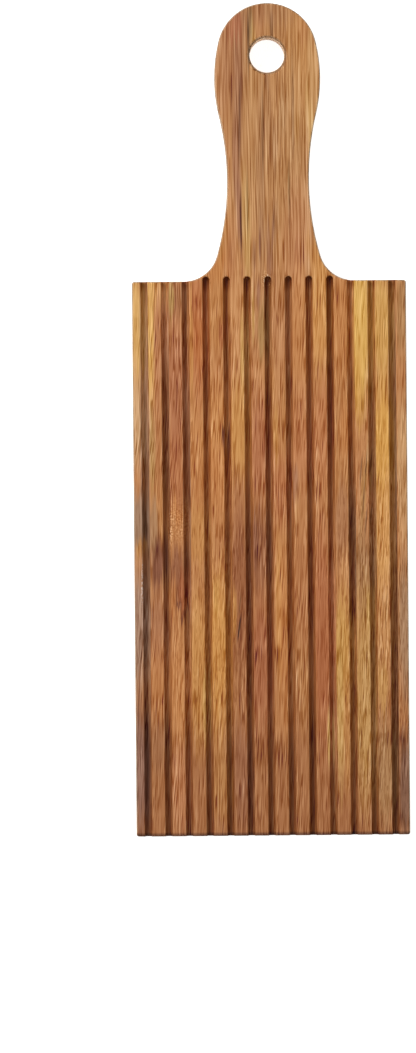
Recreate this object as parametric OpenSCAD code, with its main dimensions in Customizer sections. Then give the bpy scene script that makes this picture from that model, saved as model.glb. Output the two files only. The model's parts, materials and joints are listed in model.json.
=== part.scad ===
// Gnocchi board: one plank of oily hardwood, sawn to a blade with a handle,
// grooved along the blade with a ball-nosed cutter and drilled for hanging.
// It lies on its flat back: +Z is the grooved face, +Y points along the handle,
// and the origin is under the middle of the overall length and width.

/* [Blade] */
// Width of the grooved blade
blade_w = 79; // [60:0.5:110]
// Length of the blade, from its square end to the shoulders
blade_l = 160; // [100:1:240]
// Thickness of the plank
board_t = 12; // [8:0.5:20]
// Radius that breaks every outer edge
edge_r = 0.5; // [0.3:0.1:2]
// Radius left on the blade's corners inside the broken edge
corner_r = 0.2; // [0.1:0.1:10]

/* [Handle] */
// Length of the handle, from the shoulders to its tip
handle_l = 80; // [70:1:100]
// Radius of the round end of the handle
head_r = 14.4; // [12:0.1:18]
// Angle down to which the round end runs before the flatter flank takes over
flank_turn = 14; // [5:1:30]
// Radius of the flanks, the swelling below the round end
flank_r = 44; // [30:1:60]
// Width of the waist, the handle's narrowest place
waist_w = 23.6; // [18:0.2:28]
// Radius of the hollow on each side of the waist
waist_r = 80; // [60:1:110]
// Radius of the fillet from the waist out to the shoulder
shoulder_r = 10; // [5:0.5:14]

/* [Hanging hole] */
// Diameter of the drilled hole
hole_d = 10; // [6:0.5:14]
// Distance from the handle's tip to the middle of the hole
hole_from_tip = 15; // [13:0.5:20]
// Radius that eases both rims of the hole
rim_r = 1; // [0.4:0.1:1.6]

/* [Grooves] */
// Distance from one groove to the next
groove_pitch = 5.95; // [4.5:0.05:10]
// Width between a groove's walls, which is the cutter's diameter
groove_w = 1.9; // [1.6:0.1:3]
// Depth of the grooves under the face
groove_d = 2.4; // [1.8:0.1:4]
// Radius that eases the two lips of a groove
lip_r = 0.4; // [0.2:0.1:0.6]
// How far the rounded ends of the grooves reach past the shoulders
groove_reach = 1.3; // [0.5:0.1:6]
// How far the whole row of grooves sits from the middle of the blade
groove_shift = -0.3; // [-1:0.1:1]
// Least width of the ridge left along each side of the blade
side_ridge = 1.4; // [1:0.1:5]

/* [Hidden] */

// Chords in each arc of the outline, and in each eased or ball-nosed quarter round
arc_steps = 12;
corner_steps = 4;
ease_steps = 4;
nose_steps = 5;
// How far a cutter runs out of the wood
clear = 2;

end_y = -(blade_l + handle_l) / 2;
shoulder_y = end_y + blade_l;
tip_y = shoulder_y + handle_l;

// The side of the handle is a chain of four arcs, each tangent to the next
head_c = [0, tip_y - head_r];
flank_c = head_c - (flank_r - head_r) * [cos(flank_turn), sin(flank_turn)];
waist_x = waist_w / 2 + waist_r;
waist_drop = sqrt((flank_r + waist_r) ^ 2 - (waist_x - flank_c.x) ^ 2);
waist_c = [waist_x, flank_c.y - waist_drop];
fillet_y = shoulder_y + shoulder_r;
fillet_run = sqrt((waist_r - shoulder_r) ^ 2 - (waist_c.y - fillet_y) ^ 2);
fillet_c = [waist_x - fillet_run, fillet_y];

// Angles at which one arc hands over to the next
flank_end = -asin(waist_drop / (flank_r + waist_r));
waist_start = 180 + flank_end;
waist_end = 180 + asin((waist_c.y - fillet_y) / (waist_r - shoulder_r));

// Corners of the blade, as round as the broken edge and the radius inside it
plan_r = corner_r + edge_r;
corner_x = blade_w / 2 - plan_r;
top_corner_c = [corner_x, shoulder_y - plan_r];
end_corner_c = [corner_x, end_y + plan_r];

nose_r = groove_w / 2;
groove_half_w = nose_r + lip_r;
grooves_beside_middle = floor((blade_w / 2 - side_ridge - groove_half_w) / groove_pitch);
groove_end_y = shoulder_y + groove_reach - nose_r;

// Points along an arc, without its first point, which the arc before it ends on
function arc(centre, r, from, to, steps) =
    [for (i = [1:steps])
        let (a = from + (to - from) * i / steps)
        centre + r * [cos(a), sin(a)]];

// A quarter round of radius r as [distance in from the side, depth under the face]
function quarter(r) =
    [for (i = [0:ease_steps])
        let (a = 90 * i / ease_steps)
        r * [1 - sin(a), 1 - cos(a)]];

function reversed(list) = [for (i = [len(list) - 1:-1:0]) list[i]];

function mirrored(list) = [for (p = list) [-p.x, p.y]];

// Right side of the outline from the tip to the square end, drawn in by a distance
function right_side(inset) = concat(
    [[0, tip_y - inset]],
    arc(head_c, head_r - inset, 90, flank_turn, arc_steps),
    arc(flank_c, flank_r - inset, flank_turn, flank_end, arc_steps),
    arc(waist_c, waist_r + inset, waist_start, waist_end, arc_steps),
    arc(fillet_c, shoulder_r + inset, waist_end, 270, arc_steps),
    [top_corner_c + [0, plan_r - inset]],
    arc(top_corner_c, plan_r - inset, 90, 0, corner_steps),
    [end_corner_c + [plan_r - inset, 0]],
    arc(end_corner_c, plan_r - inset, 0, -90, corner_steps)
);

// Number of points down the right side after the tip, and the fillet's last point
side_n = 4 * arc_steps + 2 * corner_steps + 2;
fillet_n = 4 * arc_steps;
ring_n = 2 * side_n + 1;

// One level of the plank: the whole outline at a height
function ring(inset, z) =
    let (right = right_side(inset))
    let (left = [for (i = [side_n:-1:1]) [-right[i].x, right[i].y]])
    [for (p = concat(right, left)) [p.x, p.y, z]];

// Levels from the back to the face: out round the lower edge, up, and in round the upper
levels = concat(
    [for (q = quarter(edge_r)) [q[0], q[1]]],
    [for (q = reversed(quarter(edge_r))) [q[0], board_t - q[1]]]
);

// A flat face is laid in strips from side to side, with the fillets' straight run as one
function left_of(i) = ring_n - i;
cap_faces = concat(
    [[0, 1, left_of(1)]],
    [for (i = [1:side_n - 1])
        if (i != fillet_n && i != fillet_n + 1)
            [i, i + 1, left_of(i + 1), left_of(i)]],
    [[left_of(fillet_n + 2), left_of(fillet_n + 1), left_of(fillet_n),
        fillet_n, fillet_n + 1, fillet_n + 2]]
);

// The plank, sawn to its outline, with its outer edges rounded over
module plank() {
    top_start = (len(levels) - 1) * ring_n;
    side_faces = [for (k = [0:len(levels) - 2], i = [0:ring_n - 1])
        let (j = (i + 1) % ring_n)
        [k * ring_n + i, k * ring_n + j, (k + 1) * ring_n + j, (k + 1) * ring_n + i]];
    polyhedron(
        points = [for (l = levels) each ring(l[0], l[1])],
        faces = concat(
            side_faces,
            [for (f = cap_faces) reversed(f)],
            [for (f = cap_faces) [for (i = f) top_start + i]]
        )
    );
}

// Right half of a groove's section: ball-nosed floor, wall and eased lip
function groove_half() = concat(
    [for (i = [0:nose_steps])
        let (a = 90 * i / nose_steps)
        [nose_r * sin(a), board_t - groove_d + nose_r * (1 - cos(a))]],
    [for (q = reversed(quarter(lip_r))) [nose_r + q[0], board_t - q[1]]],
    [[groove_half_w, board_t + clear]]
);

// A groove runs out through the square end and stops in a round end past the shoulders
module groove() {
    half = groove_half();
    translate([0, groove_end_y, 0]) {
        rotate([90, 0, 0])
            linear_extrude(groove_end_y - end_y + clear)
            polygon(concat(half, mirrored(reversed(half))));
        rotate_extrude(angle = 180, $fn = 48)
            polygon(concat(half, [[0, board_t + clear]]));
    }
}

// A true round bore with both rims eased
module hanging_hole() {
    r = hole_d / 2;
    upper = [for (q = reversed(quarter(rim_r))) [r + q[0], board_t - q[1]]];
    lower = [for (q = quarter(rim_r)) [r + q[0], q[1]]];
    rotate_extrude($fn = 96)
        polygon(concat(
            [[0, -clear], [r + rim_r, -clear]],
            lower,
            upper,
            [[r + rim_r, board_t + clear], [0, board_t + clear]]
        ));
}

module board() {
    color("#b57c4c")
    difference() {
        plank();
        for (i = [-grooves_beside_middle:grooves_beside_middle])
            translate([i * groove_pitch + groove_shift, 0, 0])
            groove();
        translate([0, tip_y - hole_from_tip, 0])
            hanging_hole();
    }
}

board();
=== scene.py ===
import json
import math

import bmesh
import bpy
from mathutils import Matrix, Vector

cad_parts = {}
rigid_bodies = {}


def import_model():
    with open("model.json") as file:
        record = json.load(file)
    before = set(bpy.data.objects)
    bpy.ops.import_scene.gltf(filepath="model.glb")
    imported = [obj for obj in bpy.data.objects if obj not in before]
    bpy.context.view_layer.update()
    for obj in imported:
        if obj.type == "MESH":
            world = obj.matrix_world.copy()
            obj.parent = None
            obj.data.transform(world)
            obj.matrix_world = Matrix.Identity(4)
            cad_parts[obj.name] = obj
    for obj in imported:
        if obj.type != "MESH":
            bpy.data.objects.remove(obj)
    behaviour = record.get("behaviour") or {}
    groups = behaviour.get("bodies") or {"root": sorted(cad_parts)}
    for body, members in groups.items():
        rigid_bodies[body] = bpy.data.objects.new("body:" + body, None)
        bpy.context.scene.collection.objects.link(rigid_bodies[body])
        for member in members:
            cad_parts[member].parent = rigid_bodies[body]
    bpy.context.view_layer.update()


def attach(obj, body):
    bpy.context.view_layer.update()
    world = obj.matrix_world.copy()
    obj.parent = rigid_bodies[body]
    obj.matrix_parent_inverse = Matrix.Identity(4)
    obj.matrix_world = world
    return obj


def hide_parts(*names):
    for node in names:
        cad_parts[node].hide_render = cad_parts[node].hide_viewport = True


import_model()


# Camera: straight above the board, as the photograph was taken, a little left of
# its middle, so that the handle leans by a hair.
bpy.ops.object.camera_add(
    location=(-0.0179, -0.0038, 1.9116),
    rotation=(math.radians(-0.81), 0, math.radians(-0.489)))
camera = bpy.context.object
camera.name = "camera"
camera.data.sensor_fit = "VERTICAL"
camera.data.sensor_height = 24
camera.data.lens = 150.21
bpy.context.scene.camera = camera


# Floor and lights: a white table top in a pale room, with a soft lamp up and to the
# left, and a weak one that fills its shadows. The table looks white around the
# board's shadow, and throws no more light on the board for that.
def linear(hex_colour):
    """An sRGB hex colour as linear RGBA."""
    parts = [int(hex_colour[i:i + 2], 16) / 255 for i in (1, 3, 5)]
    return [p / 12.92 if p <= 0.04045 else ((p + 0.055) / 1.055) ** 2.4 for p in parts] + [1]


def add_node(tree, kind, settings=None, **links):
    """A node of that kind with its settings made and its inputs set or linked.
    A setting is a property of the node. An input is named in lower case with
    underscores, or in0, in1 by its place. It takes a value, an output, or a node,
    which stands for its first output in use."""
    node = tree.nodes.new(kind)
    for name, value in (settings or {}).items():
        setattr(node, name, value)
    for name, value in links.items():
        if name[:2] == "in" and name[2:].isdigit():
            socket = node.inputs[int(name[2:])]
        else:
            socket = next(s for s in node.inputs
                          if s.enabled and s.name.lower().replace(" ", "_") == name)
        if isinstance(value, bpy.types.Node):
            value = next(s for s in value.outputs if s.enabled)
        if isinstance(value, bpy.types.NodeSocket):
            tree.links.new(value, socket)
        else:
            socket.default_value = value
    return node


floor_side = 6  # metres

bpy.ops.object.select_all(action="DESELECT")
bpy.ops.mesh.primitive_plane_add(size=floor_side, location=(0, 0, 0))
floor = bpy.context.object
floor.name = "floor"

# Matt paint: an even white without gloss, so that nothing mirrors in it
floor_paint = bpy.data.materials.new("matt_white_table_paint")
floor_paint.use_nodes = True
tree = floor_paint.node_tree
tree.nodes.clear()
path = add_node(tree, "ShaderNodeLightPath")
seen = add_node(tree, "ShaderNodeMath", {"operation": "MAXIMUM", "use_clamp": True},
                in0=path.outputs["Is Camera Ray"], in1=path.outputs["Is Glossy Ray"])
seen = add_node(tree, "ShaderNodeMath", {"operation": "MAXIMUM", "use_clamp": True},
                in0=seen, in1=path.outputs["Is Transmission Ray"])
paint = add_node(tree, "ShaderNodeBsdfDiffuse", color=linear("#e6e4e0"))
glow = add_node(tree, "ShaderNodeEmission", color=(1, 1, 1, 1), strength=0.85)
lit = add_node(tree, "ShaderNodeAddShader", in0=paint, in1=glow)
mixed = add_node(tree, "ShaderNodeMixShader", in0=seen, in1=paint, in2=lit)
add_node(tree, "ShaderNodeOutputMaterial", surface=mixed)
floor.data.materials.append(floor_paint)

# The room is white to the camera and lights the board dimly from all sides
room = bpy.data.worlds.new("pale_room")
bpy.context.scene.world = room
room.use_nodes = True
tree = room.node_tree
tree.nodes.clear()
path = add_node(tree, "ShaderNodeLightPath")
dim = add_node(tree, "ShaderNodeBackground", color=(1, 1, 1, 1), strength=0.42)
white = add_node(tree, "ShaderNodeBackground", color=(1, 1, 1, 1), strength=1)
mixed = add_node(tree, "ShaderNodeMixShader", in0=path.outputs["Is Camera Ray"],
                 in1=dim, in2=white)
add_node(tree, "ShaderNodeOutputWorld", surface=mixed)

for name, place, side, watts in (
        ("lamp_upper_left", (-0.8, 0.55, 1.2), 0.6, 16),
        ("lamp_fill_right", (1.1, -0.5, 1.4), 1.2, 3)):
    bpy.ops.object.light_add(type="AREA", location=place)
    lamp = bpy.context.object
    lamp.name = name
    lamp.data.shape = "SQUARE"
    lamp.data.size = side
    lamp.data.energy = watts
    lamp.rotation_euler = (-Vector(place)).to_track_quat("-Z", "Y").to_euler()

bpy.context.scene.view_settings.view_transform = "Standard"


# The board: one plank of oiled hardwood, sawn to a blade with a handle. Its edges
# are rounded over, thirteen grooves are cut along the blade with a ball-nosed
# cutter, and the handle is drilled to hang it up.
mm = 0.001

# Its sizes in mm, with flank_turn in degrees, as in the CAD model
blade_w, blade_l, board_t = 79, 160, 12
edge_r, corner_r = 0.5, 0.2
handle_l, head_r, flank_turn, flank_r = 80, 14.4, 14, 44
waist_w, waist_r, shoulder_r = 23.6, 80, 10
hole_d, hole_from_tip, rim_r = 10, 15, 1
groove_pitch, groove_w, groove_d, lip_r = 5.95, 1.9, 2.4, 0.4
groove_reach, groove_shift, side_ridge = 1.3, -0.3, 1.4

# How far a cutter runs out of the wood, and how near two points are one, in mm
clear, join_gap = 2, 0.01

end_y = -(blade_l + handle_l) / 2
shoulder_y = end_y + blade_l
tip_y = shoulder_y + handle_l
nose_r = groove_w / 2
groove_end_y = shoulder_y + groove_reach - nose_r
grooves_beside_middle = int((blade_w / 2 - side_ridge - nose_r - lip_r) // groove_pitch)
hole_y = tip_y - hole_from_tip

# The side of the handle is a chain of four arcs, each tangent to the next
turn = math.radians(flank_turn)
head_c = Vector((0, tip_y - head_r, 0))
flank_c = head_c - (flank_r - head_r) * Vector((math.cos(turn), math.sin(turn), 0))
waist_x = waist_w / 2 + waist_r
waist_drop = math.sqrt((flank_r + waist_r) ** 2 - (waist_x - flank_c.x) ** 2)
waist_c = Vector((waist_x, flank_c.y - waist_drop, 0))
fillet_y = shoulder_y + shoulder_r
fillet_run = math.sqrt((waist_r - shoulder_r) ** 2 - (waist_c.y - fillet_y) ** 2)
fillet_c = Vector((waist_x - fillet_run, fillet_y, 0))
flank_end = math.asin(waist_drop / (flank_r + waist_r))
waist_end = math.asin((waist_c.y - fillet_y) / (waist_r - shoulder_r))

# Corners of the blade, as round as the rounded edge and the radius inside it
plan_r = corner_r + edge_r

# The axes that arcs are drawn round
up, down, to_tip, to_end = (0, 0, 1), (0, 0, -1), (0, 1, 0), (0, -1, 0)


def one_point(name, place):
    """A new object in edit mode with one vertex, in mm from the board's middle."""
    bpy.ops.object.select_all(action="DESELECT")
    bpy.ops.mesh.primitive_plane_add(size=mm, location=(0, 0, 0))
    bpy.context.object.name = name
    bpy.ops.object.mode_set(mode="EDIT")
    bpy.ops.mesh.select_mode(type="VERT")
    bpy.ops.mesh.select_all(action="SELECT")
    bpy.ops.mesh.merge(type="CENTER")
    bpy.ops.mesh.select_all(action="SELECT")
    bpy.ops.transform.translate(value=Vector(place) * mm)
    return bpy.context.object


def sweep(centre, degrees, steps, axis):
    """Draws the selected end on round an arc, clockwise as seen from the axis's tip."""
    bpy.ops.mesh.spin(steps=steps, angle=math.radians(degrees),
                      center=Vector(centre) * mm, axis=axis)


def draw_on(step):
    """Extrudes what is selected by a step in mm."""
    bpy.ops.mesh.extrude_region_move(
        TRANSFORM_OT_translate={"value": Vector(step) * mm})


def join_points():
    """In edit mode, selects all and makes points that lie on each other one."""
    bpy.ops.mesh.select_all(action="SELECT")
    bpy.ops.mesh.remove_doubles(threshold=join_gap * mm)


def select_edges(test):
    """In edit mode, selects just the edges that pass the test."""
    bpy.ops.mesh.select_all(action="DESELECT")
    shape = bmesh.from_edit_mesh(bpy.context.object.data)
    for edge in shape.edges:
        if test(edge):
            edge.select_set(True)
    shape.select_flush_mode()
    bmesh.update_edit_mesh(bpy.context.object.data)


def close_up():
    """Turns the faces of a closed shape outwards and leaves edit mode."""
    bpy.ops.mesh.select_all(action="SELECT")
    bpy.ops.mesh.normals_make_consistent(inside=False)
    bpy.ops.object.mode_set(mode="OBJECT")


def select_alone(thing):
    """In object mode, selects one object and makes it active."""
    bpy.ops.object.select_all(action="DESELECT")
    thing.select_set(True)
    bpy.context.view_layer.objects.active = thing


def finish_with(thing, kind, settings):
    """Adds a modifier with its settings and applies it."""
    select_alone(thing)
    modifier = thing.modifiers.new(kind.lower(), kind)
    for name, value in settings.items():
        setattr(modifier, name, value)
    bpy.ops.object.modifier_apply(modifier=modifier.name)


# The right side of the outline is drawn from the handle's tip to the square end
plank = one_point("board_oiled_hardwood", (0, tip_y, 0))
sweep(head_c, 90 - flank_turn, 20, up)
sweep(flank_c, flank_turn + math.degrees(flank_end), 12, up)
sweep(waist_c, math.degrees(flank_end + waist_end), 14, down)
sweep(fillet_c, 90 - math.degrees(waist_end), 14, down)
draw_on((blade_w / 2 - plan_r - fillet_c.x, 0, 0))
sweep((blade_w / 2 - plan_r, shoulder_y - plan_r, 0), 90, 4, up)
draw_on((0, 2 * plan_r - blade_l, 0))
sweep((blade_w / 2 - plan_r, end_y + plan_r, 0), 90, 4, up)
draw_on((plan_r - blade_w / 2, 0, 0))

# The left side mirrors it, and the outline is filled and raised to the thickness
bpy.ops.mesh.select_all(action="SELECT")
bpy.ops.mesh.duplicate()
bpy.ops.transform.resize(value=(-1, 1, 1), center_override=(0, 0, 0))
join_points()
bpy.ops.mesh.edge_face_add()
draw_on((0, 0, board_t))
close_up()

# The edges round the face and the back are rounded over. The angle leaves out the
# upright ones between the chords of the outline.
finish_with(plank, "BEVEL", {"width": edge_r * mm, "segments": 4,
                             "limit_method": "ANGLE", "angle_limit": math.radians(60)})

# The cutter's path: half of a groove's section, ball nose, wall and eased lip, is
# spun into the round end past the shoulders and drawn out through the square end
groove_cutter = one_point("groove_cutter", (0, groove_end_y, board_t - groove_d))
sweep((0, groove_end_y, board_t - groove_d + nose_r), 90, 6, to_tip)
draw_on((0, 0, groove_d - nose_r - lip_r))
sweep((nose_r + lip_r, groove_end_y, board_t - lip_r), 90, 4, to_end)
draw_on((0, 0, clear))
draw_on((-nose_r - lip_r, 0, 0))
bpy.ops.mesh.select_all(action="SELECT")
sweep((0, groove_end_y, 0), 180, 16, down)
join_points()
bpy.ops.mesh.select_mode(type="EDGE")
select_edges(lambda edge: edge.is_boundary and all(
    abs(point.co.y / mm - groove_end_y) < join_gap for point in edge.verts))
draw_on((0, end_y - clear - groove_end_y, 0))
join_points()
select_edges(lambda edge: edge.is_boundary)
bpy.ops.mesh.edge_face_add()
close_up()

# It is copied to each groove's place, and the copies are joined to one cutter
for i in range(-grooves_beside_middle, grooves_beside_middle + 1):
    if i != 0:
        select_alone(groove_cutter)
        bpy.ops.object.duplicate()
        bpy.ops.transform.translate(value=(i * groove_pitch * mm, 0, 0))
select_alone(groove_cutter)
for thing in bpy.context.scene.objects:
    if thing.name.startswith("groove_cutter"):
        thing.select_set(True)
bpy.ops.object.join()
bpy.ops.transform.translate(value=(groove_shift * mm, 0, 0))

# The drill's path: the bore with both rims eased, spun round the hole's axis
rim_x = hole_d / 2 + rim_r
drill = one_point("drill", (0, hole_y, -clear))
draw_on((rim_x, 0, 0))
draw_on((0, 0, clear))
sweep((rim_x, hole_y, rim_r), 90, 5, to_end)
draw_on((0, 0, board_t - 2 * rim_r))
sweep((rim_x, hole_y, board_t - rim_r), 90, 5, to_end)
draw_on((0, 0, clear))
draw_on((-rim_x, 0, 0))
bpy.ops.mesh.select_all(action="SELECT")
sweep((0, hole_y, 0), 360, 72, down)
join_points()
close_up()

for cutter in (groove_cutter, drill):
    finish_with(plank, "BOOLEAN", {"operation": "DIFFERENCE", "solver": "EXACT",
                                   "object": cutter})
    bpy.data.objects.remove(cutter)

# Points that the cuts left on each other are joined, and the roundings shade smooth
select_alone(plank)
bpy.ops.object.mode_set(mode="EDIT")
bpy.ops.mesh.select_all(action="SELECT")
bpy.ops.mesh.remove_doubles(threshold=0.1 * join_gap * mm)
bpy.ops.object.mode_set(mode="OBJECT")
bpy.ops.object.shade_smooth_by_angle(angle=math.radians(40))
finish_with(plank, "WEIGHTED_NORMAL", {"keep_sharp": True, "weight": 100})

# The wood is an acacia-like hardwood, planed smooth and rubbed with oil, which gives
# the eye reddish brown growth bands, fine dark pores and a satin sheen. It is a solid
# pattern in millimetres on the board's own coordinates, so the sides, the back and
# the sawn ends carry on the figure of the face.
wood = bpy.data.materials.new("oiled_reddish_brown_hardwood")
wood.use_nodes = True
tree = wood.node_tree
tree.nodes.clear()
coords = add_node(tree, "ShaderNodeTexCoord")
in_mm = add_node(tree, "ShaderNodeVectorMath", {"operation": "SCALE"},
                 in0=coords.outputs["Object"], scale=1 / mm)
x, y, z = add_node(tree, "ShaderNodeSeparateXYZ", in0=in_mm).outputs

# The fibres run straight up the handle and lean in the blade, they waver a little,
# and they turn round a knot by the left edge. The growth layers lie askew to the face.
blade_lean = 0.045  # tangent of 2.6 degrees
lean_bend = 15  # mm, over which the fibres take on that lean
knot_middle, knot_half, knot_turn = (-36, -38, 6), (15, 34, 40), 0.08
waver_w, waver_size = 1.6, (13, 60, 13)  # mm
layer_tilt = 0.6  # tangent of 31 degrees from upright
below = add_node(tree, "ShaderNodeMath", {"operation": "SUBTRACT"}, in0=shoulder_y, in1=y)
below = add_node(tree, "ShaderNodeMath", {"operation": "SMOOTH_MAX"},
                 in0=below, in1=0, in2=lean_bend)
upright = add_node(tree, "ShaderNodeMath", {"operation": "MULTIPLY_ADD"},
                   in0=below, in1=blade_lean, in2=x)
depth = add_node(tree, "ShaderNodeMath", {"operation": "SUBTRACT"}, in0=z, in1=board_t)
knot_at = add_node(tree, "ShaderNodeMapping", {"vector_type": "TEXTURE"},
                   vector=in_mm, location=knot_middle, scale=knot_half)
knot = add_node(tree, "ShaderNodeTexGradient", {"gradient_type": "SPHERICAL"}, in0=knot_at)
turned = add_node(tree, "ShaderNodeMath", {"operation": "ADD"}, in0=y, in1=-knot_middle[1])
turned = add_node(tree, "ShaderNodeMath", {"operation": "MULTIPLY"},
                  in0=turned, in1=knot.outputs["Fac"])
upright = add_node(tree, "ShaderNodeMath", {"operation": "MULTIPLY_ADD"},
                   in0=turned, in1=knot_turn, in2=upright)
slow = add_node(tree, "ShaderNodeMapping", {"vector_type": "TEXTURE"},
                vector=in_mm, scale=waver_size)
waver = add_node(tree, "ShaderNodeTexNoise", in0=slow, scale=1, detail=1, roughness=0.5)
waver = add_node(tree, "ShaderNodeMath", {"operation": "MULTIPLY_ADD"},
                 in0=waver, in1=waver_w, in2=-waver_w / 2)
askew = add_node(tree, "ShaderNodeMath", {"operation": "MULTIPLY_ADD"},
                 in0=depth, in1=layer_tilt, in2=waver)
layer = add_node(tree, "ShaderNodeMath", {"operation": "ADD"}, in0=upright, in1=askew)

# Fibres show twice as long in the handle, where they lie flatter in the face
stretch_from, stretch_bend = shoulder_y + 4, 10
along = add_node(tree, "ShaderNodeMath", {"operation": "SMOOTH_MIN"},
                 in0=y, in1=stretch_from, in2=stretch_bend)
along = add_node(tree, "ShaderNodeMath", {"operation": "ADD"}, in0=along, in1=y)
along = add_node(tree, "ShaderNodeMath", {"operation": "DIVIDE"}, in0=along, in1=2)
grain = add_node(tree, "ShaderNodeCombineXYZ", in0=layer, in1=along, in2=depth)

# Streaks, each a noise drawn out along the fibres to its width and length in mm. The
# last is no streak, but the patches in which the fine ones come and go.
streaks = []
for width, length, seed in ((3.4, 60, 3.1), (1.3, 34, 17.7), (0.5, 18, 29.3),
                            (0.27, 8, 41.9), (4, 13, 57.3)):
    drawn = add_node(tree, "ShaderNodeMapping", {"vector_type": "TEXTURE"},
                     vector=grain, location=(seed, seed, seed),
                     scale=(width, length, width))
    streaks.append(add_node(tree, "ShaderNodeTexNoise", in0=drawn, scale=1, detail=1,
                            roughness=0.5))
broad, middling, narrow, hairlike, patches = streaks

# Pores, cut open by the plane: dark lines a quarter and a third of a millimetre wide,
# 6 and 13 mm long, and short flecks. Each lies where its noise is above its least.
pore_rim = 0.16
pores = []
for width, length, seed, least in ((0.25, 6, 7, 0.54), (0.32, 13, 15, 0.60),
                                   (0.22, 2.2, 23, 0.57)):
    drawn = add_node(tree, "ShaderNodeMapping", {"vector_type": "TEXTURE"},
                     vector=grain, location=(seed, seed, seed),
                     scale=(width, length, width))
    noise = add_node(tree, "ShaderNodeTexNoise", in0=drawn, scale=1, detail=0)
    pores.append(add_node(tree, "ShaderNodeMapRange", {"interpolation_type": "SMOOTHSTEP"},
                          value=noise, from_min=least, from_max=least + pore_rim))
thin_pores, wide_pores, flecks = pores
pores = add_node(tree, "ShaderNodeMath", {"operation": "ADD"}, in0=thin_pores, in1=wide_pores)


def soft_spot(tree, vector, middle_x, middle_y, half_w, half_l, lean, strength):
    """Mask of a long soft spot in the face, which fades from its inner part, where
    it is as strong as given, to its rim."""
    full_from = 0.55  # of the way in from the rim
    at = add_node(tree, "ShaderNodeMapping", {"vector_type": "TEXTURE"}, vector=vector,
                  location=(middle_x, middle_y, 0), rotation=(0, 0, -math.radians(lean)),
                  scale=(half_w, half_l, 1))
    near = add_node(tree, "ShaderNodeTexGradient", {"gradient_type": "SPHERICAL"}, in0=at)
    near = add_node(tree, "ShaderNodeMath", {"operation": "MINIMUM"},
                    in0=near.outputs["Fac"], in1=full_from)
    return add_node(tree, "ShaderNodeMath", {"operation": "MULTIPLY"},
                    in0=near, in1=strength / full_from)


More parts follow.
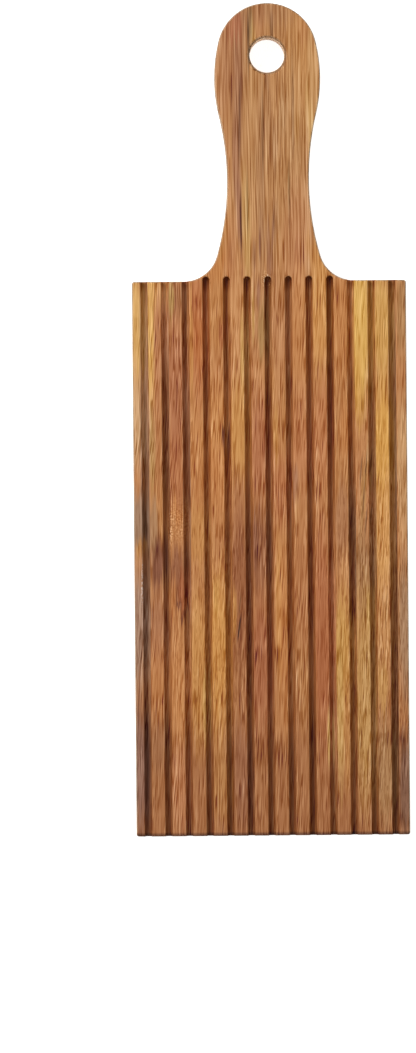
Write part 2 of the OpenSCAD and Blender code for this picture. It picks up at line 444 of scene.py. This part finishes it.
# Growth layers and heartwood colour: soft bands laid down one by one, each with its
# middle, half width and half length in mm, its lean in degrees, its colour and its
# strength. All but the thinnest fray along the fibres.
gold, honey, straw, amber = "#cf9648", "#d8a55c", "#c99b58", "#c38848"
clay, orange, russet, brick = "#b87a4f", "#bb763c", "#a96a3e", "#a45d35"
mauve, plum, umber, bark = "#966248", "#784430", "#6b401f", "#7c5130"
olive, ash = "#8a6c42", "#94735a"
bands = (
    # over the whole handle, and the darker end of the blade
    (0, 90, 32, 74, 0, "#b4804e", 0.8),
    (0, -128, 90, 80, 0, "#945a34", 0.6),
    # head of the handle
    (-10.5, 104, 5, 20, 0, "#a1673e", 0.8),
    (-8.3, 98, 1.7, 32, 0, "#94603f", 0.7),
    (-13.8, 100, 2.4, 22, 0, "#c28c60", 0.75),
    (-9, 113, 3, 6.5, 8, "#9e5a38", 0.8),
    (-6.3, 110, 1.2, 14, 0, "#ac7c55", 0.7),
    (-4.7, 114, 0.9, 8, 0, olive, 0.75),
    (-3.8, 112, 0.8, 8, 0, straw, 0.6),
    (-2, 116, 2.2, 10, 0, russet, 0.5),
    (-5.4, 108.5, 0.38, 13, 0, "#4c2608", 0.9),
    (1.4, 113, 0.6, 7, 0, umber, 0.65),
    (10, 103, 6, 22, 0, amber, 0.5),
    (12, 113, 4, 7, 20, russet, 0.5),
    (12.6, 88, 1.6, 8, -8, gold, 0.4),
    (13.4, 95, 2, 26, -3, "#cc9d69", 0.8),
    (8, 84, 4.4, 34, 0, "#c29160", 0.5),
    (-4.2, 94, 1.4, 14, 0, "#cb9a68", 0.85),
    (0, 97, 1, 4.5, 0, "#8a5b3c", 0.55),
    (0, 86, 1.6, 16, 0, "#a8754a", 0.5),
    (-2.2, 66, 1.6, 40, 0, "#ab7a50", 0.6),
    (7.3, 90, 0.5, 20, 0, umber, 0.4),
    (-8.1, 85, 0.42, 17, 1, "#6a3c22", 0.8),
    (-1.4, 83, 0.45, 20, 0, umber, 0.6),
    # the very tip, and streaks below the hole
    (0, 118, 12, 6, 0, "#a0714f", 0.35),
    (-6, 99, 1.1, 20, 0, "#c39060", 0.5),
    # waist of the handle, down to the shoulders
    (-4, 74, 1, 7, 0, "#cb9c6b", 0.6),
    (2, 80, 1.2, 9, 0, "#c2946a", 0.55),
    (4.4, 88, 1.6, 9, 0, "#c99d6f", 0.55),
    (8.4, 86, 1, 7, 0, "#cf9f68", 0.5),
    (12.6, 77, 1.7, 22, -3, "#deb67e", 0.75),
    (2, 58, 1.1, 8, 0, "#c3946a", 0.65),
    (-6, 50, 1, 7, 0, honey, 0.35),
    (-2, 55, 1, 6, 0, "#94623f", 0.4),
    (0, 48, 1.1, 11, 0, "#8c5a3e", 0.5),
    (8.4, 46, 1.4, 8, 0, "#a4653c", 0.8),
    (-9.4, 75, 1.2, 18, 0, "#935c44", 0.55),
    (-11.6, 66, 1.5, 34, 0, "#bb7f50", 0.5),
    (-8.5, 60, 1.1, 14, 0, "#8a5640", 0.7),
    (-7.9, 57, 0.42, 13, 0, "#602f18", 0.95),
    (-13, 50, 2.6, 12, 8, amber, 0.5),
    (-11, 48, 2.4, 14, 4, clay, 0.5),
    (-6.3, 55, 1.6, 22, -1, "#cb9e63", 0.75),
    (3.8, 50, 1.6, 8, 0, "#ce9866", 0.7),
    (11.4, 62, 1.8, 30, 0, "#cc9a6c", 0.75),
    (-6, 63, 0.4, 12, 0, olive, 0.5),
    (-4.2, 45, 0.8, 6, 0, "#8e5c3c", 0.6),
    (-2.5, 50.5, 0.4, 6, 0, plum, 0.8),
    (1.3, 54, 0.5, 9, 3, plum, 0.55),
    (0.6, 45, 1.3, 6, 0, mauve, 0.4),
    (6, 63, 0.5, 13, 0, olive, 0.6),
    (8, 52, 5, 22, 2, clay, 0.55),
    (14.5, 45, 3.6, 10, -25, amber, 0.55),
    (-15, 43, 4, 7, 25, orange, 0.6),
    # left side of the blade, with the dark wood of the knot
    (-38.4, 27, 2.4, 22, 0, "#d4a360", 1),
    (-38.4, 0, 2.4, 17, 0, "#d2a678", 0.85),
    (-38.3, -30, 2.6, 11, 0, ash, 0.85),
    (-37.9, -36.8, 1.4, 3, 0, amber, 0.7),
    (-38.4, -60, 2.4, 22, 0, "#9d7a64", 0.85),
    (-38.4, -100, 2.8, 26, 0, "#845d4d", 0.85),
    (-34.3, 25, 1.5, 28, 0, honey, 0.9),
    (-33, 38, 3.4, 9, 0, "#ce9854", 0.7),
    (-31.9, 20, 1.7, 24, 0, clay, 0.8),
    (-34, -9, 1.3, 14, 0, "#ab874a", 0.6),
    (-32, -8, 2.6, 16, 0, russet, 0.5),
    (-34, -30, 2.2, 10, 0, "#9a7656", 0.6),
    (-32.6, -41, 2.8, 10, 0, plum, 0.85),
    (-33, -60, 3.6, 16, 0, "#a0694a", 0.6),
    (-33, -76, 3.6, 18, 0, orange, 0.4),
    (-36.2, -10, 1.7, 80, 0, "#96745e", 0.6),
    (-33, -94, 3, 10, 0, "#94603c", 0.6),
    # second ridge
    (-27, 36, 3.8, 9, 0, "#a9724a", 0.8),
    (-28.2, 36, 1.2, 7, 0, "#b08a4a", 0.7),
    (-27, 10, 3.8, 26, 0, "#ad6d47", 0.85),
    (-27, -14, 3.8, 16, 0, brick, 0.6),
    (-27, -26.5, 2, 3, 0, orange, 0.6),
    (-27, -44, 3.6, 11, 0, "#8d5538", 0.8),
    (-25.6, -50, 1.7, 10, 0, brick, 0.8),
    (-26.2, -55, 1.1, 5, -32, plum, 0.75),
    (-28.2, -50, 1, 8, 0, orange, 0.6),
    (-27, -78, 3.6, 22, 0, "#c3834c", 0.8),
    (-27, -106, 3.6, 16, 0, "#bb7a4e", 0.6),
    # third ridge
    (-21, 24, 3.8, 24, 0, "#b56c3d", 0.85),
    (-22.5, 22, 0.8, 22, 0, amber, 0.7),
    (-20.6, 22, 1.8, 10, 0, "#b0642c", 0.6),
    (-21, -12, 3.8, 20, 0, "#bd7c44", 0.7),
    (-21, -32, 3.6, 12, 0, amber, 0.6),
    (-21, -72, 3.8, 30, 0, "#c58a4a", 0.85),
    (-19.4, -82, 1, 14, 0, straw, 0.6),
    # fourth ridge
    (-15, 30, 3.8, 16, 0, "#b97b42", 0.7),
    (-13.8, 26, 1.1, 6, 0, brick, 0.7),
    (-15, -8, 3.8, 28, 0, "#bd7a42", 0.8),
    (-15.4, 0, 3.6, 11, 0, "#d0955a", 0.45),
    (-13.2, -5, 0.8, 5, 0, plum, 0.75),
    (-15.4, -68, 3.8, 33, 0, "#c88b47", 0.95),
    (-15, -106, 3.6, 14, 0, "#b57c42", 0.6),
    (-16, -50, 1.2, 7, 0, honey, 0.45),
    # fifth ridge
    (-9, 28, 3.8, 24, 0, "#c48955", 0.75),
    (-7.8, 18, 0.8, 18, 0, straw, 0.75),
    (-9, -3, 3.8, 18, 0, "#c38847", 0.85),
    (-9, -48, 3.8, 34, 0, "#975b36", 0.9),
    (-10.7, -55, 0.9, 9, 0, amber, 0.75),
    (-9.35, -60, 0.34, 5, 8, "#412512", 0.85),
    (-9.1, -53, 0.26, 4, 6, umber, 0.7),
    (-9, -104, 3.8, 20, 0, "#8d573a", 0.6),
    # sixth ridge
    (-3.2, 30, 3.6, 14, 0, "#b47d50", 0.7),
    (-3, 36, 0.7, 6, 0, mauve, 0.7),
    (-4.6, 30, 0.6, 10, 0, straw, 0.6),
    (-2.3, 25, 1.3, 12, 0, "#a47a46", 0.8),
    (-3.2, -8, 3.8, 20, 0, "#ad6b43", 0.9),
    (-3.2, -38, 3.8, 18, 0, "#935a39", 0.85),
    (-4.5, -35, 0.9, 8, 0, plum, 0.5),
    (-3.2, -70, 3.8, 26, 0, "#a15d38", 0.85),
    # seventh and eighth ridges
    (2.8, 28, 3.8, 20, 0, "#be8457", 0.7),
    (1.6, -5, 1.2, 10, 0, amber, 0.7),
    (3.2, -20, 3.6, 14, 0, "#b16c40", 0.8),
    (2.1, -54, 1.3, 28, 0, "#bf7f40", 0.8),
    (3.6, -62, 1.8, 34, 0, orange, 0.6),
    (2.8, -84, 3.6, 12, 0, "#be7f4a", 0.5),
    (8.7, 26, 3.8, 22, 0, "#bb7a44", 0.7),
    (8.7, -6, 3.8, 20, 0, "#b57044", 0.6),
    (7, -20, 1.4, 8, 0, mauve, 0.6),
    (8.7, -48, 3.8, 22, 0, "#ab6a3e", 0.6),
    (9, -80, 2, 16, 0, "#b67b44", 0.5),
    # ninth and tenth ridges
    (14.7, 30, 3.6, 22, 0, "#cd9150", 0.85),
    (15, -4, 3.8, 20, 0, "#b97547", 0.75),
    (14.7, -62, 3.8, 44, 0, "#aa643a", 0.95),
    (16.2, -92, 0.5, 10, 0, straw, 0.8),
    (20.6, 26, 3.6, 24, 0, "#ba7941", 0.9),
    (21.4, -3, 2, 12, 0, orange, 0.6),
    (20.6, -30, 3.4, 14, 0, "#a8714a", 0.75),
    (20.4, -66, 3, 20, 0, "#cb9750", 0.85),
    (19.7, -84, 1.5, 30, 0, straw, 0.8),
    (21.5, -88, 1.5, 26, 0, amber, 0.6),
    # eleventh and twelfth ridges, the yellow ones
    (26, 26, 3.8, 30, 0, "#dcac5c", 0.95),
    (25.5, 10, 1.2, 16, 0, gold, 0.6),
    (27, -20, 0.9, 18, 5, "#b88a52", 0.6),
    (26.1, -15, 0.28, 6, 5, bark, 0.85),
    (26.8, -23, 0.24, 7, 4, bark, 0.85),
    (27.6, -13, 0.26, 6, 5, bark, 0.75),
    (27.5, -29, 0.26, 6, 5, bark, 0.8),
    (26.6, -44, 3.6, 18, 0, "#a87c52", 0.7),
    (26.6, -80, 3.8, 40, 0, "#c09054", 0.9),
    (28, -55, 0.9, 9, 0, straw, 0.7),
    (32.5, 26, 3.6, 22, 0, "#cd9a52", 0.9),
    (32.5, -8, 3.8, 24, 0, "#d2994a", 0.95),
    (32.5, -34, 3.8, 22, 0, "#d8a060", 0.85),
    (33, -56, 0.34, 6, 2, umber, 0.6),
    (32.5, -62, 3.6, 14, 0, "#c99158", 0.7),
    (32, -78, 2.2, 9, 0, "#c49150", 0.7),
    (32.5, -102, 3.6, 20, 0, "#ae8254", 0.75),
    # right side of the blade
    (38.3, 30, 2.4, 16, 0, "#a87848", 0.85),
    (38.3, -14, 2.4, 28, 0, "#c59564", 0.9),
    (38.3, -60, 2.4, 26, 0, "#a57e5c", 0.85),
    (38.3, -106, 2.8, 20, 0, "#835c46", 0.9),
    (35.3, -60, 1.4, 80, 0, "#6e5140", 0.5),
    # greyer floors of the outer grooves
    (35.3, 0, 1.3, 50, 0, "#8e7c6c", 0.45),
    (29.45, -20, 1.3, 40, 0, "#94805f", 0.35),
    (23.5, -38, 1.3, 30, 0, "#8c7a66", 0.45),
    (-24.1, -18, 1.3, 44, 0, "#8f7668", 0.45),
    (-30.1, -6, 1.3, 50, 0, "#8f7668", 0.4),
    (-36, -50, 1.3, 60, 0, "#8c7868", 0.35),
)
frayed_from = 0.75  # mm, half width
fray_w, fray_l = 0.7, 16  # mm
askew = add_node(tree, "ShaderNodeMath", {"operation": "MULTIPLY_ADD"},
                 in0=depth, in1=layer_tilt, in2=x)
crisp = add_node(tree, "ShaderNodeCombineXYZ", in0=askew, in1=y)
weave = add_node(tree, "ShaderNodeMath", {"operation": "MULTIPLY_ADD"},
                 in0=hairlike, in1=fray_w, in2=-fray_w / 2)
weave = add_node(tree, "ShaderNodeMath", {"operation": "ADD"}, in0=askew, in1=weave)
uneven = add_node(tree, "ShaderNodeMath", {"operation": "MULTIPLY_ADD"},
                  in0=narrow, in1=fray_l, in2=-fray_l / 2)
uneven = add_node(tree, "ShaderNodeMath", {"operation": "ADD"}, in0=uneven, in1=y)
frayed = add_node(tree, "ShaderNodeCombineXYZ", in0=weave, in1=uneven)
base = add_node(tree, "ShaderNodeMix", {"data_type": "RGBA"}, factor=broad,
                a=linear("#ad6c40"), b=linear("#c48a52"))
for band_x, band_y, half_w, half_l, lean, colour, strength in bands:
    spot = soft_spot(tree, frayed if half_w > frayed_from else crisp,
                     band_x, band_y, half_w, half_l, lean, strength)
    base = add_node(tree, "ShaderNodeMix", {"data_type": "RGBA"}, factor=spot,
                    a=base, b=linear(colour))

# All that darkens or lightens the wood is gathered as a power of its colour, as oil
# deepens it, with as much again in plain shade: first the fine streaks and the pores,
# which come and go in patches, less so in the handle. The two noises count from
# their means, so that the streaks make the wood neither darker nor lighter.
patchy = add_node(tree, "ShaderNodeMapRange", value=patches, from_min=0.34,
                  from_max=0.66, to_min=-0.53, to_max=0.52)
evener = add_node(tree, "ShaderNodeMapRange", value=y, from_min=shoulder_y - 6,
                  from_max=shoulder_y + 18, to_min=1, to_max=0.4)
patchy = add_node(tree, "ShaderNodeMath", {"operation": "MULTIPLY_ADD"},
                  in0=patchy, in1=evener, in2=0.98)
fine = -0.48  # half of what the two noises are multiplied by
for noise, amount in ((narrow, 0.38), (hairlike, 0.58), (pores, 0.28)):
    fine = add_node(tree, "ShaderNodeMath", {"operation": "MULTIPLY_ADD"},
                    in0=noise, in1=amount, in2=fine)
fine = add_node(tree, "ShaderNodeMath", {"operation": "MULTIPLY"}, in0=fine, in1=patchy)
plain_power = 0.85  # to which the broad streaks bring 0.12 on average
power = add_node(tree, "ShaderNodeMath", {"operation": "ADD"}, in0=fine, in1=plain_power)
for noise, amount in ((broad, 0.13), (middling, 0.11)):
    power = add_node(tree, "ShaderNodeMath", {"operation": "MULTIPLY_ADD"},
                     in0=noise, in1=amount, in2=power)

# The handle's growth layers are cut 0.9 mm apart and show as thin dark lines
ring_pitch, ring_waver = 0.9, 2
ringed = add_node(tree, "ShaderNodeMath", {"operation": "MULTIPLY_ADD"},
                  in0=middling, in1=ring_waver, in2=layer)
ringed = add_node(tree, "ShaderNodeMath", {"operation": "MULTIPLY"},
                  in0=ringed, in1=2 * math.pi / ring_pitch)
ringed = add_node(tree, "ShaderNodeMath", {"operation": "SINE"}, in0=ringed)
ringed = add_node(tree, "ShaderNodeMapRange", {"interpolation_type": "SMOOTHSTEP"},
                  value=ringed, from_min=0, from_max=1, to_min=-0.04, to_max=0.12)
spot = soft_spot(tree, crisp, middle_x=1, middle_y=78, half_w=14, half_l=70,
                 lean=0, strength=1)
power = add_node(tree, "ShaderNodeMath", {"operation": "MULTIPLY_ADD"},
                 in0=ringed, in1=spot, in2=power)

# Flecks lie thick on the lower right of the blade, and thinner on its left and in the
# handle: the middle, half width and half length of each place in mm, and its strength
for spot_x, spot_y, half_w, half_l, amount in (
        (30, -62, 17, 80, 0.27), (6, 84, 9, 40, 0.2), (-18, -60, 16, 50, 0.22)):
    spot = soft_spot(tree, crisp, spot_x, spot_y, half_w, half_l, 0, amount)
    power = add_node(tree, "ShaderNodeMath", {"operation": "MULTIPLY_ADD"},
                     in0=flecks, in1=spot, in2=power)

# The fibres are torn beside the knot and where the middle groove ends, in shreds of
# half a millimetre
torn = add_node(tree, "ShaderNodeMapping", {"vector_type": "TEXTURE"},
                vector=in_mm, scale=(0.5, 0.6, 0.5))
torn = add_node(tree, "ShaderNodeTexNoise", in0=torn, scale=1, detail=2, roughness=0.6)
torn = add_node(tree, "ShaderNodeMath", {"operation": "MULTIPLY_ADD"},
                in0=torn, in1=-4, in2=1.9)
for spot_x, spot_y, half_w, half_l, amount in (
        (-29.6, -30.5, 1.7, 9, 0.55), (-27, -29, 3, 8, 0.25), (-0.7, 40.2, 1.7, 3, 0.7)):
    spot = soft_spot(tree, crisp, spot_x, spot_y, half_w, half_l, 0, amount)
    power = add_node(tree, "ShaderNodeMath", {"operation": "MULTIPLY_ADD"},
                     in0=torn, in1=spot, in2=power)

# The distance across the blade from the nearest ridge's middle, and the part of the
# blade that the grooves are cut into. A groove's middle is groove_x away, and what
# lies some mm beside it is groove_x less that.
groove_x = groove_pitch / 2
grooved_to = shoulder_y + groove_reach
beside = add_node(tree, "ShaderNodeMath", {"operation": "SUBTRACT"}, in0=x,
                  in1=groove_shift + groove_x)
beside = add_node(tree, "ShaderNodeMath", {"operation": "WRAP"}, in0=beside,
                  in1=groove_x, in2=-groove_x)
beside = add_node(tree, "ShaderNodeMath", {"operation": "ABSOLUTE"}, in0=beside)
blade = add_node(tree, "ShaderNodeMapRange", value=y,
                 from_min=grooved_to + 0.5, from_max=grooved_to)
cut = add_node(tree, "ShaderNodeMapRange", value=depth,
               from_min=-groove_d - 0.3, from_max=-groove_d - 0.1)
blade = add_node(tree, "ShaderNodeMath", {"operation": "MULTIPLY"}, in0=blade, in1=cut)

# The grooves are darker, partly from the oil they hold and partly from painted shade
# in the recess, more in some places than in others, and most where they end
in_groove = add_node(tree, "ShaderNodeMapRange", {"interpolation_type": "SMOOTHSTEP"},
                     value=beside, from_min=groove_x - 1.4, from_max=groove_x - 1.1)
under_face = add_node(tree, "ShaderNodeMapRange", {"interpolation_type": "SMOOTHSTEP"},
                      value=depth, from_min=-0.3, from_max=-1.7)
oil_and_painted_shade = add_node(tree, "ShaderNodeMath", {"operation": "MULTIPLY"},
               in0=in_groove, in1=under_face)
oil_and_painted_shade = add_node(tree, "ShaderNodeMath", {"operation": "MULTIPLY"}, in0=oil_and_painted_shade, in1=blade)
held_oil_and_shade = add_node(tree, "ShaderNodeMapRange", value=middling,
                from_min=0.3, from_max=0.7, to_min=0.04, to_max=0.22)
last = add_node(tree, "ShaderNodeMapRange", {"interpolation_type": "SMOOTHSTEP"},
                value=y, from_min=groove_end_y - 4, from_max=groove_end_y, to_max=0.4)
held_oil_and_shade = add_node(tree, "ShaderNodeMath", {"operation": "ADD"}, in0=held_oil_and_shade, in1=last)

# The places with more or less of it: the groove's number from the middle one, the
# middle and half length along it in mm, and the amount
one_groove = 4  # mm, a half width that takes in one groove and no other
for number, middle_y, half_l, amount in (
        (-6, 18, 30, -0.2), (-6, -68, 26, -0.17),
        (-5, 34, 26, -0.26), (-5, -18, 16, 0.09), (-5, -58, 34, -0.18),
        (-4, 26, 40, -0.12), (-4, -66, 44, -0.25),
        (-3, -16, 20, -0.09), (-3, -62, 16, -0.09),
        (-2, 30, 14, -0.06), (-2, -66, 36, -0.11),
        (-1, 0, 26, -0.06),
        (0, -78, 30, -0.13), (0, -4, 14, -0.06),
        (1, -8, 30, -0.1), (1, -70, 40, -0.07),
        (2, 22, 30, -0.05), (2, -70, 90, 0.05),
        (3, 20, 46, 0.29), (3, -74, 50, -0.32),
        (4, 28, 40, -0.15), (4, -34, 14, 0.08), (4, -114, 12, -0.1),
        (5, -34, 16, -0.23), (5, -88, 26, -0.08),
        (6, -48, 14, 0.12), (6, -110, 34, 0.12)):
    spot = soft_spot(tree, crisp, number * groove_pitch + groove_shift,
                     middle_y, one_groove, half_l, 0, amount)
    held_oil_and_shade = add_node(tree, "ShaderNodeMath", {"operation": "ADD"}, in0=held_oil_and_shade, in1=spot)
# The grooves' oil and painted shade deepen the colour
power = add_node(tree, "ShaderNodeMath", {"operation": "MULTIPLY_ADD"},
                 in0=oil_and_painted_shade, in1=held_oil_and_shade, in2=power)

# The lips of the grooves are a little lighter, partly rubbed and partly a painted highlight
lip = add_node(tree, "ShaderNodeMapRange", {"interpolation_type": "SMOOTHSTEP"},
               value=beside, from_min=groove_x - 2, from_max=groove_x - 1.3)
lip = add_node(tree, "ShaderNodeMath", {"operation": "SUBTRACT"}, in0=lip, in1=in_groove)
lip = add_node(tree, "ShaderNodeMath", {"operation": "MULTIPLY"}, in0=lip, in1=blade)
power = add_node(tree, "ShaderNodeMath", {"operation": "MULTIPLY_ADD"},
                 in0=lip, in1=-0.05, in2=power)

# The rounded outer edges and, a little, the sides are greyed, but not the lips and
# walls of the grooves
facing = add_node(tree, "ShaderNodeSeparateXYZ", in0=coords.outputs["Normal"])
edge = add_node(tree, "ShaderNodeMapRange", {"interpolation_type": "SMOOTHSTEP"},
                value=facing.outputs["Z"], from_min=0.99, from_max=0.8)
upright_side = add_node(tree, "ShaderNodeMapRange", value=facing.outputs["Z"],
                        from_min=0.35, from_max=0, to_min=1, to_max=0.2)
edge = add_node(tree, "ShaderNodeMath", {"operation": "MULTIPLY"},
                in0=edge, in1=upright_side)
grooved = add_node(tree, "ShaderNodeMapRange", value=beside,
                   from_min=groove_x - 1.5, from_max=groove_x - 1.4)
grooved = add_node(tree, "ShaderNodeMath", {"operation": "MULTIPLY"},
                   in0=grooved, in1=blade)
edge = add_node(tree, "ShaderNodeMath", {"operation": "SUBTRACT", "use_clamp": True},
                in0=edge, in1=grooved)

# The bore's wall is painted pale, painted light for a wall the lamps barely reach, and a
# dull greyish rim of painted shade runs round it
hole_r = hole_d / 2
from_axis = add_node(tree, "ShaderNodeVectorMath", {"operation": "SUBTRACT"},
                     in0=in_mm, in1=(0, hole_y, 0))
from_axis = add_node(tree, "ShaderNodeVectorMath", {"operation": "MULTIPLY"},
                     in0=from_axis, in1=(1, 1, 0))
from_axis = add_node(tree, "ShaderNodeVectorMath", {"operation": "LENGTH"},
                     in0=from_axis)
bored = add_node(tree, "ShaderNodeMapRange", {"interpolation_type": "SMOOTHSTEP"},
                 value=from_axis, from_min=hole_r + 0.12, from_max=hole_r)
rimmed = add_node(tree, "ShaderNodeMapRange", {"interpolation_type": "SMOOTHSTEP"},
                  value=from_axis, from_min=hole_r + 0.75, from_max=hole_r + 0.35)
edge = add_node(tree, "ShaderNodeMath", {"operation": "SUBTRACT", "use_clamp": True},
                in0=edge, in1=rimmed)
rimmed = add_node(tree, "ShaderNodeMath", {"operation": "SUBTRACT"},
                  in0=rimmed, in1=bored)
bore_light_paint = add_node(tree, "ShaderNodeMath", {"operation": "MULTIPLY"}, in0=bored, in1=0.75)
base = add_node(tree, "ShaderNodeMix", {"data_type": "RGBA"}, factor=bore_light_paint,
                a=base, b=linear("#e6cba8"))
power = add_node(tree, "ShaderNodeMath", {"operation": "MULTIPLY_ADD"},
                 in0=bored, in1=-0.3, in2=power)
rim_painted_shade = add_node(tree, "ShaderNodeMath", {"operation": "MULTIPLY"}, in0=rimmed, in1=0.6)
base = add_node(tree, "ShaderNodeMix", {"data_type": "RGBA"}, factor=rim_painted_shade,
                a=base, b=linear("#968068"))
power = add_node(tree, "ShaderNodeMath", {"operation": "MULTIPLY_ADD"},
                 in0=rimmed, in1=0.05, in2=power)

# The sawn end is darker and browner than the greyed edges: partly oil it has soaked up,
# partly painted shade, as it faces away from the lamp
sawn = add_node(tree, "ShaderNodeMapRange", {"interpolation_type": "SMOOTHSTEP"},
                value=y, from_min=end_y + 1.3, from_max=end_y + 0.4)
shaded = add_node(tree, "ShaderNodeMath", {"operation": "MULTIPLY"}, in0=sawn, in1=0.3)
power = add_node(tree, "ShaderNodeMath", {"operation": "ADD"}, in0=power, in1=shaded)
soaked_and_shaded = add_node(tree, "ShaderNodeMath", {"operation": "MULTIPLY"}, in0=sawn, in1=0.5)
base = add_node(tree, "ShaderNodeMix", {"data_type": "RGBA"}, factor=soaked_and_shaded,
                a=base, b=linear("#75604e"))
edge = add_node(tree, "ShaderNodeMath", {"operation": "SUBTRACT", "use_clamp": True},
                in0=edge, in1=sawn)
greyed = add_node(tree, "ShaderNodeMath", {"operation": "MULTIPLY"}, in0=edge, in1=0.75)
base = add_node(tree, "ShaderNodeMix", {"data_type": "RGBA"}, factor=greyed,
                a=base, b=linear("#b6a48c"))
power = add_node(tree, "ShaderNodeMath", {"operation": "MULTIPLY_ADD"},
                 in0=edge, in1=0.04, in2=power)

# Pale chips have come off the lip by the left edge, beside the knot
chips = add_node(tree, "ShaderNodeMapRange", {"interpolation_type": "SMOOTHSTEP"},
                 value=torn, from_min=0.05, from_max=-0.5)
spot = soft_spot(tree, crisp, middle_x=-37.2, middle_y=-46.5, half_w=0.45, half_l=9,
                 lean=2, strength=0.5)
chips = add_node(tree, "ShaderNodeMath", {"operation": "MULTIPLY"}, in0=chips, in1=spot)
chips = add_node(tree, "ShaderNodeMath", {"operation": "SUBTRACT", "use_clamp": True},
                 in0=chips, in1=under_face)
base = add_node(tree, "ShaderNodeMix", {"data_type": "RGBA"}, factor=chips,
                a=base, b=linear("#d9d0c8"))

# The gathered power deepens the colour and shades it by halves. A faint plain grey
# that follows the fine streaks is a painted sheen for the light the fibres catch
mean_power, darkest = 1.06, (0.004, 0.004, 0.004)
power = add_node(tree, "ShaderNodeClamp", value=power, min=0.4, max=3)
deep = add_node(tree, "ShaderNodeGamma", color=base, gamma=power)
shade = add_node(tree, "ShaderNodeMath", {"operation": "SUBTRACT"},
                 in0=power, in1=mean_power)
shade = add_node(tree, "ShaderNodeMath", {"operation": "POWER"}, in0=0.5, in1=shade)
painted_sheen = add_node(tree, "ShaderNodeMath", {"operation": "MULTIPLY"}, in0=fine, in1=-0.045)
colour = add_node(tree, "ShaderNodeVectorMath", {"operation": "MULTIPLY_ADD"},
                  in0=deep, in1=shade, in2=painted_sheen)
colour = add_node(tree, "ShaderNodeVectorMath", {"operation": "MAXIMUM"},
                  in0=colour, in1=darkest)

# Rubbed oil leaves a satin face: the gloss varies with the fibres, which stand a
# little proud, and the pores lie deeper
gloss = add_node(tree, "ShaderNodeMapRange", value=narrow, to_min=0.46, to_max=0.62)
height = add_node(tree, "ShaderNodeMath", {"operation": "SUBTRACT"},
                  in0=narrow, in1=pores)
bump = add_node(tree, "ShaderNodeBump", strength=0.35, distance=0.03 * mm, height=height)
shader = add_node(tree, "ShaderNodeBsdfPrincipled", base_color=colour, roughness=gloss,
                  ior=1.47, specular_ior_level=0.3, normal=bump)
add_node(tree, "ShaderNodeOutputMaterial", surface=shader)
plank.data.materials.clear()
plank.data.materials.append(wood)
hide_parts("board")
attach(plank, "root")
